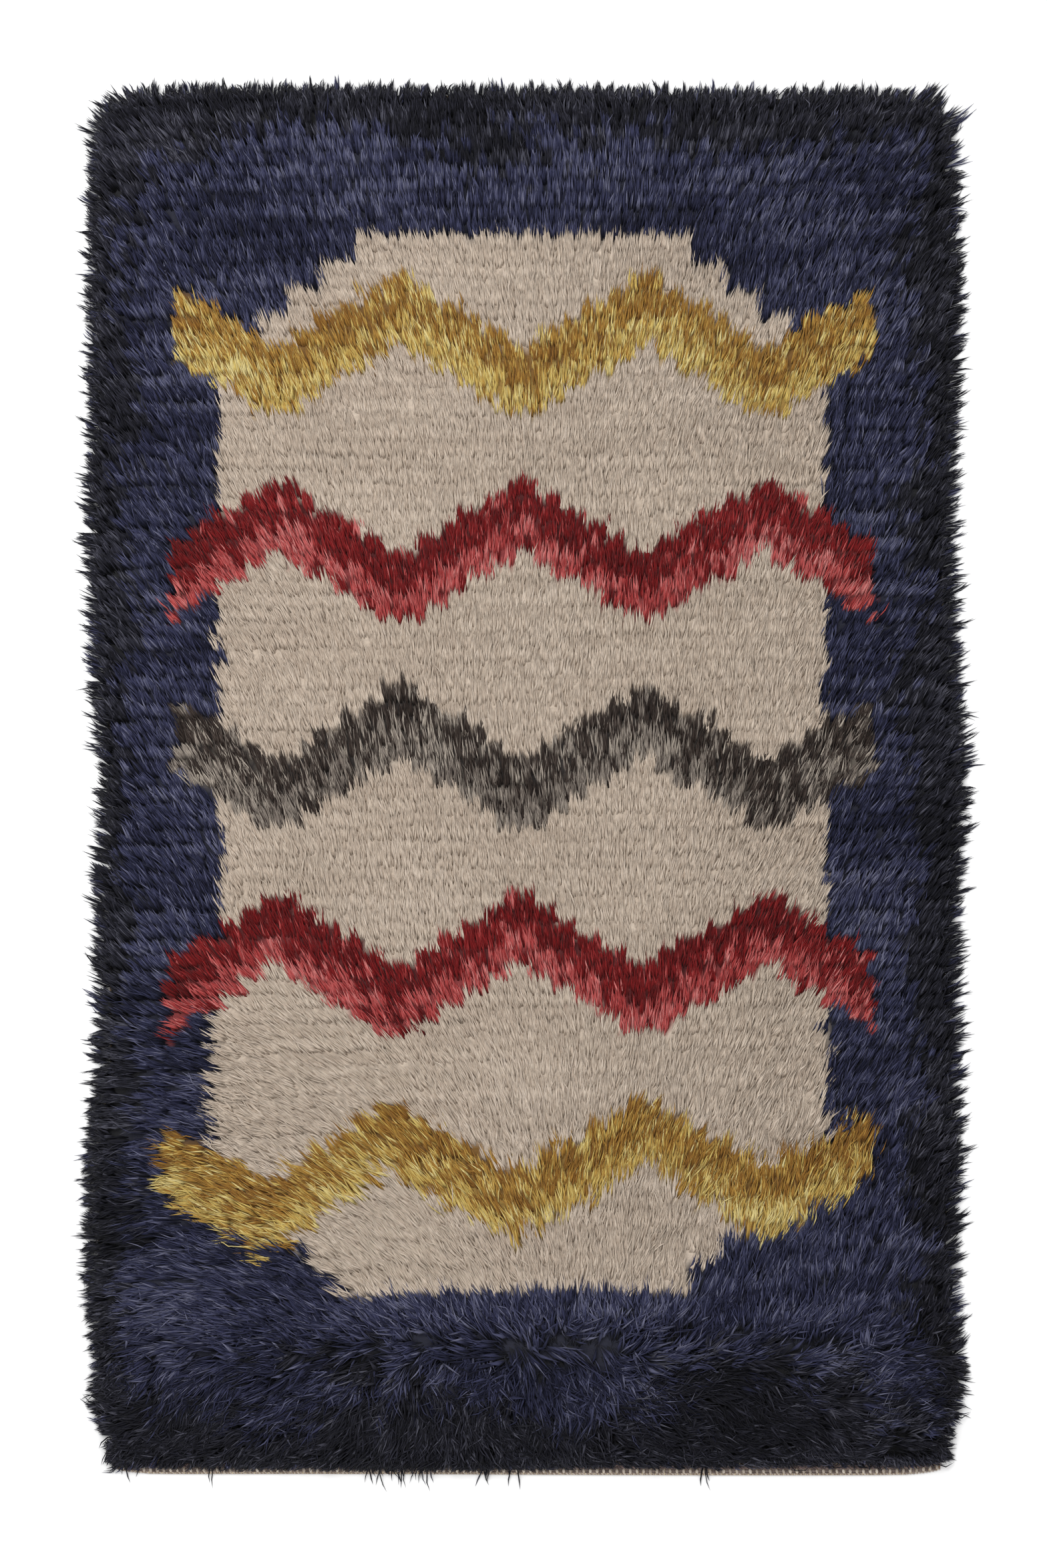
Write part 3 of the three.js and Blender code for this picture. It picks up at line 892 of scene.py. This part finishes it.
# %% Make one piece for each dye bath, two where there is much of it
PILE_PIECES = [
    ("pile_navy_upper", navy_wool, [NAVY], 1),
    ("pile_navy_lower", navy_wool, [NAVY], -1),
    ("pile_blue_upper", blue_wool, [BLUE], 1),
    ("pile_blue_lower", blue_wool, [BLUE], -1),
    ("pile_oatmeal_upper", oatmeal_wool, [OATMEAL], 1),
    ("pile_oatmeal_lower", oatmeal_wool, [OATMEAL], -1),
    ("pile_gold", gold_wool, [OCHRE, YELLOW], None),
    ("pile_red", red_wool, [RED, PINK], None),
    ("pile_brown", brown_wool, [BROWN, GREY], None),
]
pile_pieces = []
for name, material, yarns, half in PILE_PIECES:
    leaf = np.isin(leaf_yarn, yarns)
    spindle = np.isin(spindle_yarn, yarns)
    if half:
        leaf &= leaves[:, 0, 1] * half > 0
        spindle &= spindle_points[:, 0, 1] * half > 0
    parts = [
        leaf_arrays(leaves[leaf], leaf_width[leaf], leaf_shade[leaf], leaf_roll[leaf]),
        spindle_arrays(spindle_points[spindle], spindle_radii[spindle], spindle_shade[spindle],
                       spindle_roll[spindle]),
    ]
    pile_pieces.append(join_parts(name, parts, material))

# %% [markdown]
# ## The under-pile
#
# Between the yarn ends the eye meets more wool, not the weave. A low, lumpy layer stands
# in for the roots, a little lower under the dark wools. It starts as a flat grid with
# about a row of squares for each row of knots, its points are moved onto the plan, and its
# border is pulled down to the weave. Each point has the colour of the tuft that lies over
# it, for most wools a darker shade as painted shade for the roots in the tufts' shadow,
# kept as an attribute of the mesh.

# %% A flat grid, and how its points are read and set


def flat_grid(name, columns, rows):
    bpy.ops.object.select_all(action="DESELECT")
    bpy.ops.mesh.primitive_grid_add(x_subdivisions=columns, y_subdivisions=rows, size=2)
    grid = bpy.context.object
    grid.name = name
    grid.data.uv_layers.remove(grid.data.uv_layers[0])
    return grid


def on_plan(grid, margin, size):
    """From -1 to 1 on a grid to u or v, for a margin inside the edges of a plan that size."""
    return margin / size + (grid + 1) / 2 * (1 - 2 * margin / size)


def points_of(piece):
    co = np.empty((len(piece.data.vertices), 3))
    piece.data.vertices.foreach_get("co", co.ravel())
    return co


def set_points(piece, x, y, z):
    piece.data.vertices.foreach_set("co", to_frame(np.stack([x, y, z], axis=1)))
    piece.data.update()


# %% Model the under-pile
UNDER_TOP = 17.5
UNDER_DARK_SINK = 2
UNDER_RIDGE = 0.8
UNDER_MARGIN = 8
UNDER_DIP = 5
UNDER_RIM_DROP = 12.5
UNDER_RIM_WIDTH = 13
UNDER_LOWEST = 4.5
UNDER_GAP = 0.3
UNDER_COLUMNS = 96
UNDER_ROWS = 100
under_pile = flat_grid("under_pile", UNDER_COLUMNS, UNDER_ROWS)
bpy.ops.object.mode_set(mode="EDIT")
bpy.ops.mesh.select_all(action="SELECT")
bpy.ops.mesh.region_to_loop()
bpy.ops.mesh.extrude_edges_move(TRANSFORM_OT_translate={"value": (0, 0, -1)})
bpy.ops.mesh.edge_face_add()
bpy.ops.mesh.select_all(action="SELECT")
bpy.ops.mesh.normals_make_consistent(inside=False)
bpy.ops.object.mode_set(mode="OBJECT")

co = points_of(under_pile)
u = on_plan(co[:, 0], UNDER_MARGIN, PILE_WIDTH)
v = on_plan(co[:, 1], UNDER_MARGIN, PILE_LENGTH)
under_x, under_y = plan(u, v)
row_of = np.round((co[:, 1] + 1) / 2 * UNDER_ROWS)
top_z = UNDER_TOP + UNDER_RIDGE * np.where(row_of % 2 == 0, -1, 1)
top_z += swell(under_x, under_y)
top_z -= UNDER_DARK_SINK * (chart(under_x, under_y) <= BLUE)
top_z -= UNDER_DIP * smoothstep(PARTING_Y + PARTING_ZONE - under_y, 0, PARTING_HALF_WIDTH)
rim_drop = UNDER_RIM_DROP * np.exp((past_edge(under_x, under_y) + UNDER_MARGIN) / UNDER_RIM_WIDTH)
underside = co[:, 2] < -0.5
height = np.where(underside, WEAVE_THICKNESS + UNDER_GAP, np.maximum(top_z - rim_drop, UNDER_LOWEST))
set_points(under_pile, under_x, under_y, height)
print(f"under_pile: {len(under_pile.data.polygons)} faces")

# %% Colour it tuft by tuft, most wools darker than their tufts as painted shade
# Painted shade: for most wools these root colours are darker than the tufts' wool, as the roots lie in
# shadow
SHADED_ROOT_COLOURS = ["#0b0b11", "#141628", "#c0b1a1", "#71501f", "#927538",
                "#4c0a0c", "#813031", "#221b18", "#5c544c"]
COVER_SHIFT = 22


def colour_points(piece, attribute, codes, yarn):
    """Stores each point's colour, looked up in a list by its yarn."""
    table = np.array([dye(code) for code in codes])
    stored = piece.data.attributes.new(attribute, "FLOAT_COLOR", "POINT")
    stored.data.foreach_set("color", table[yarn].ravel())


shift = COVER_SHIFT * heading_of(np.radians(lean(under_x, under_y)))
under_yarn = chart(under_x - shift[:, 0], under_y - shift[:, 1])
colour_points(under_pile, "shaded_root_colour", SHADED_ROOT_COLOURS, under_yarn)


def matted_roots(tree):
    roots = add_node(tree, "Attribute", {"attribute_name": "shaded_root_colour"})
    place = add_node(tree, "TexCoord")
    matted = fibre_noise(tree, place.outputs["Object"], 260, 3)
    colour = fleck(tree, roots.outputs["Color"], map_range(tree, matted, 0.7, 1.3))
    return colour, matted, 0.6, 2, {"Roughness": 0.85}, {}


under_pile.data.materials.append(wool_material("shadowed_wool_roots", matted_roots))

# %% [markdown]
# ## The ground weave
#
# The sheet that carries the knots is brown wool weft beaten tight over a cream warp, with
# a row of knots after every few lines of weft. It is a grid with a line of points at each
# row of knots and one between, moved onto the plan. Solidify gives it its thickness, and
# on its underside the weft sinks a little between the knots.

# %% Model the ground weave
WEAVE_COLUMNS = 24
WEAVE_LINES = 2 * ROWS
WEFT_SINK = 0.5
woven_ground = flat_grid("woven_ground", WEAVE_COLUMNS, WEAVE_LINES)
co = points_of(woven_ground)
line = np.round((co[:, 1] + 1) / 2 * WEAVE_LINES)
along = END_MARGIN + (line - 1) * ROW_PITCH / 2
along = np.where(line == 0, 0, np.where(line == WEAVE_LINES, PILE_LENGTH - PILE_OVERHANG, along))
weave_x, weave_y = plan(on_plan(co[:, 0], PILE_OVERHANG, PILE_WIDTH), along / PILE_LENGTH)
weave_y -= np.where(line == 0, WOVEN_END, 0)
set_points(woven_ground, weave_x, weave_y, np.full(len(co), WEAVE_THICKNESS))

place = woven_ground.data.attributes.new("weave_place", "FLOAT_VECTOR", "POINT")
place.data.foreach_set("vector", np.stack([weave_x, along - END_MARGIN, line], axis=1).ravel())
KNOT_COLOURS = ["#20202a", "#34365a", "#b8a998", "#a87a36", "#c4a552",
                "#7c1416", "#b05250", "#3c332d", "#857b72"]
colour_points(woven_ground, "knot_back", KNOT_COLOURS, chart(weave_x, weave_y))

# %% Give it its thickness, and let the weft sink between the rows of knots
solidify = woven_ground.modifiers.new("thickness", "SOLIDIFY")
solidify.thickness = WEAVE_THICKNESS / 1000
solidify.offset = -1
bpy.ops.object.modifier_apply(modifier="thickness")
co = points_of(woven_ground)
where = np.empty_like(co)
woven_ground.data.attributes["weave_place"].data.foreach_get("vector", where.ravel())
sinks = (co[:, 2] < WEAVE_THICKNESS / 2000) & (where[:, 2] % 2 == 0)
co[sinks, 2] += WEFT_SINK / 1000
woven_ground.data.vertices.foreach_set("co", co.ravel())
woven_ground.data.update()
print(f"woven_ground: {len(woven_ground.data.polygons)} faces, {sinks.sum()} points between knots")

# %% Its wool: weft ribs, warp showing through, and the backs of the knots
WEFT_PITCH = 3.2
WARP_PITCH = 2 * KNOT_PITCH / 3
WARP_SPECK = (0.5, 0.9)
KNOT_BACK_HALF_LENGTH = (2.6, 3.6)
KNOT_BACK_HALF_WIDTH = (3.2, 4.2)


def near_line(tree, coordinate, pitch):
    """The distance from a coordinate to the nearest of many lines, one every pitch."""
    settings = {"operation": "PINGPONG"}
    return add_node(tree, "Math", settings, {1: pitch / 2}, {0: coordinate}).outputs["Value"]


def flat_weave(tree):
    where = add_node(tree, "Attribute", {"attribute_name": "weave_place"}).outputs["Vector"]
    axes = add_node(tree, "SeparateXYZ", links={"Vector": where})
    across, along = axes.outputs["X"], axes.outputs["Y"]
    weft_stops = [(0.3, dye("#5c4a39")), (0.5, dye("#7a6450")), (0.7, dye("#967e66"))]
    weft = shade_ramp(tree, fibre_noise(tree, where, 0.9, 3), weft_stops)
    warp = map_range(tree, near_line(tree, across, WARP_PITCH), 1, 0, *WARP_SPECK)
    specks = add_node(tree, "Mix", {"data_type": "RGBA"}, {"B": dye("#c9b895")},
                      {"Factor": warp, "A": weft})
    in_row = map_range(tree, near_line(tree, along, ROW_PITCH), 1, 0, *KNOT_BACK_HALF_LENGTH)
    in_knot = map_range(tree, near_line(tree, across, KNOT_PITCH), 1, 0, *KNOT_BACK_HALF_WIDTH)
    in_both = {0: in_row, 1: in_knot}
    bumps = add_node(tree, "Math", {"operation": "MULTIPLY"}, links=in_both).outputs["Value"]
    backs = add_node(tree, "Attribute", {"attribute_name": "knot_back"}).outputs["Color"]
    colour = add_node(tree, "Mix", {"data_type": "RGBA"},
                      links={"Factor": bumps, "A": specks.outputs["Result"], "B": backs})
    ribs = add_node(tree, "Math", {"operation": "MULTIPLY_ADD"}, {1: 0.5},
                    {0: near_line(tree, along, WEFT_PITCH), 2: bumps})
    return colour.outputs["Result"], ribs.outputs["Value"], 0.7, 0.8, {"Roughness": 0.88}, {}


woven_ground.data.materials.append(wool_material("flat_woven_brown_wool", flat_weave))

# %% [markdown]
# ## The woven end
#
# Where the knots stop, a narrow band of the flat weave shows. Cream floats of warp stand
# in a row with brown weft between them, above them the weft runs on in thick mauve-brown
# twists, and a tan cord is bound along the very edge. Each is made of turned and stretched
# copies of one bit of yarn.

# %% Model one plump bit of yarn, a millimetre in radius, flat underneath
bpy.ops.object.select_all(action="DESELECT")
bpy.ops.mesh.primitive_uv_sphere_add(segments=8, ring_count=4, radius=1, rotation=(math.pi / 2, 0, 0))
yarn_bit = bpy.context.object
bpy.ops.object.transform_apply(location=False, rotation=True, scale=False)
bpy.ops.object.mode_set(mode="EDIT")
bpy.ops.mesh.select_all(action="SELECT")
bpy.ops.mesh.bisect(plane_co=(0, 0, -0.5), plane_no=(0, 0, 1), use_fill=True, clear_inner=True)
bpy.ops.object.mode_set(mode="OBJECT")
yarn_shape = np.array([list(vertex.co) for vertex in yarn_bit.data.vertices])
yarn_faces = [tuple(face.vertices) for face in yarn_bit.data.polygons]
bpy.data.objects.remove(yarn_bit)
print(f"a bit of yarn has {len(yarn_faces)} faces")


def lay_yarn(name, places, turns, size, material, spread=0.12):
    """Joins copies of the bit of yarn. turns are degrees about Z, size the half sizes in
    X, Y and Z, which differ from bit to bit by the spread."""
    count = len(places)
    sizes = np.array(size) * chance.uniform(1 - spread, 1 + spread, (count, 3))
    turns = np.radians(turns)[:, None]
    bits = yarn_shape * sizes[:, None]
    corners = np.empty((count, len(yarn_shape), 3))
    corners[:, :, 0] = bits[:, :, 0] * np.cos(turns) - bits[:, :, 1] * np.sin(turns)
    corners[:, :, 1] = bits[:, :, 0] * np.sin(turns) + bits[:, :, 1] * np.cos(turns)
    corners[:, :, 2] = bits[:, :, 2]
    corners += places[:, None]
    piece = build_object(name, *copy_faces(corners, yarn_faces), material)
    shade = piece.data.attributes.new("shade", "FLOAT", "POINT")
    shade.data.foreach_set("value", np.repeat(chance.uniform(0, 1, count), len(yarn_shape)))
    piece.data.shade_smooth()
    return piece


def on_band(count, from_edge, height):
    """Evenly spaced places along the woven end, from_edge millimetres inside it."""
    across = (np.arange(count) + 0.5) / count
    x, y = plan(inset_u + across * (1 - 2 * inset_u), 0)
    return np.stack([x, y - WOVEN_END + from_edge, np.full(count, float(height))], axis=1)


# %% Their wool
YARN_FIBRE_MM = 0.7


def band_wool(name, shades):
    """Undyed or plant-dyed yarn, each bit of it in its own shade."""

    def layers(tree):
        shade = add_node(tree, "Attribute", {"attribute_name": "shade"})
        yarn = shade_ramp(tree, shade.outputs["Fac"], even_stops(shades))
        place = add_node(tree, "TexCoord")
        fibres = fibre_noise(tree, place.outputs["Object"], 1000 / YARN_FIBRE_MM, 2)
        colour = fleck(tree, yarn, map_range(tree, fibres, 0.75, 1.25))
        return colour, fibres, 0.5, 0.3, {"Roughness": 0.8, "Sheen Weight": 0.05}, {}

    return wool_material(name, layers)


warp_wool = band_wool("cream_warp_wool", ["#a09387", "#bbafa2", "#d2c7ba"])
weft_wool = band_wool("brown_weft_wool", ["#554843", "#6c5e58", "#84766f"])
twist_wool = band_wool("mauve_brown_weft_wool", ["#4e4040", "#6b5857", "#86726e"])
cord_wool = band_wool("tan_edge_cord_wool", ["#8d8074", "#a99c90", "#c2b6aa"])

# %% Lay the floats, the weft between them, the twists above and the cord below
# Lines and places are measured from the edge; a place's second number is its height
FLOAT_PITCH = 9.6
FLOAT_PLACE = (5.6, 3.4)
FLOAT_SIZE = (2.2, 3.6, 1.1)
FLOAT_SLANT = 9
FLOAT_SLANT_DRIFT = 11
WEFT_LINES = (3.6, 6.0, 8.3)
WEFT_HEIGHT = 3.3
WEFT_SIZE = (1.35, 3.1, 0.9)
TWIST_PITCH = 5.2
TWIST_LINES = (10.6, 13.4)
TWIST_HEIGHT = 3.5
TWIST_SIZE = (1.5, 3.7, 1.2)
TWIST_TURNS = (68, 112)
CORD_PITCH = 4.6
CORD_PLACE = (1.5, 1.9)
CORD_SIZE = (1.4, 3.1, 1.8)
CORD_TURN = 66.0
CORD_SPREAD = 0.06
TURN_STRAY = 5
WEAVE_WIDTH = (1 - 2 * inset_u) * PILE_WIDTH

floats = round(WEAVE_WIDTH / FLOAT_PITCH)
float_places = on_band(floats, *FLOAT_PLACE)
float_drift = patches(float_places[:, 0], np.zeros(floats), 260, 100, 61)
float_turns = FLOAT_SLANT + FLOAT_SLANT_DRIFT * float_drift
band_pieces = [lay_yarn("warp_floats", float_places, float_turns, FLOAT_SIZE, warp_wool)]

between = [FLOAT_PITCH / 2, 0, 0]
weft_places = [on_band(floats, line, WEFT_HEIGHT)[:-1] + between for line in WEFT_LINES]
weft_places = np.concatenate(weft_places)
weft_turns = chance.normal(90, TURN_STRAY, len(weft_places))
band_pieces.append(lay_yarn("weft_between_floats", weft_places, weft_turns, WEFT_SIZE, weft_wool))

twists = round(WEAVE_WIDTH / TWIST_PITCH)
twist_places = np.concatenate([on_band(twists, line, TWIST_HEIGHT) for line in TWIST_LINES])
twist_turns = np.repeat(TWIST_TURNS, twists) + chance.normal(0, TURN_STRAY, 2 * twists)
band_pieces.append(lay_yarn("weft_twists", twist_places, twist_turns, TWIST_SIZE, twist_wool))

cord_places = on_band(round(WEAVE_WIDTH / CORD_PITCH), *CORD_PLACE)
cord_turns = np.full(len(cord_places), CORD_TURN)
band_pieces.append(lay_yarn("edge_cord", cord_places, cord_turns, CORD_SIZE, cord_wool, CORD_SPREAD))

# %% [markdown]
# ## Floor and light
#
# The floor is plain white paper, lit nearly evenly from all sides as in a studio. One
# wide softbox high above the far left corner gives the wool its soft modelling.

# %% Floor and light
FLOOR_SIZE = 12
SKY_STRENGTH = 0.84
SOFTBOX_WATTS = 150
SOFTBOX_SIZE = (4.0, 3.0)
SOFTBOX_PLACE = (-1.5, 2.2, 4.2)
bpy.ops.object.select_all(action="DESELECT")
bpy.ops.mesh.primitive_plane_add(size=FLOOR_SIZE, location=(0, 0, 0))
floor = bpy.context.object
floor.name = "studio_floor"
floor_paper = bpy.data.materials.new("white_paper_floor")
floor_paper.use_nodes = True
paper = floor_paper.node_tree.nodes["Principled BSDF"].inputs
paper["Base Color"].default_value = dye("#fcfcfc")
paper["Roughness"].default_value = 0.95
paper["Specular IOR Level"].default_value = 0.1
floor.data.materials.append(floor_paper)

world = bpy.data.worlds.new("studio_world")
world.use_nodes = True
background = world.node_tree.nodes["Background"].inputs
background["Color"].default_value = (1, 1, 1, 1)
background["Strength"].default_value = SKY_STRENGTH
scene.world = world

softbox_data = bpy.data.lights.new("softbox", "AREA")
softbox_data.shape = "RECTANGLE"
softbox_data.size, softbox_data.size_y = SOFTBOX_SIZE
softbox_data.energy = SOFTBOX_WATTS
softbox = bpy.data.objects.new("softbox", softbox_data)
softbox.location = SOFTBOX_PLACE
softbox.rotation_euler = (-softbox.location).to_track_quat("-Z", "Y").to_euler()
scene.collection.objects.link(softbox)

for piece in [*pile_pieces, under_pile]:
    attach(piece, "root")
for piece in [woven_ground, *band_pieces]:
    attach(piece, "root")
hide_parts("pile")
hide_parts("ground_weave")
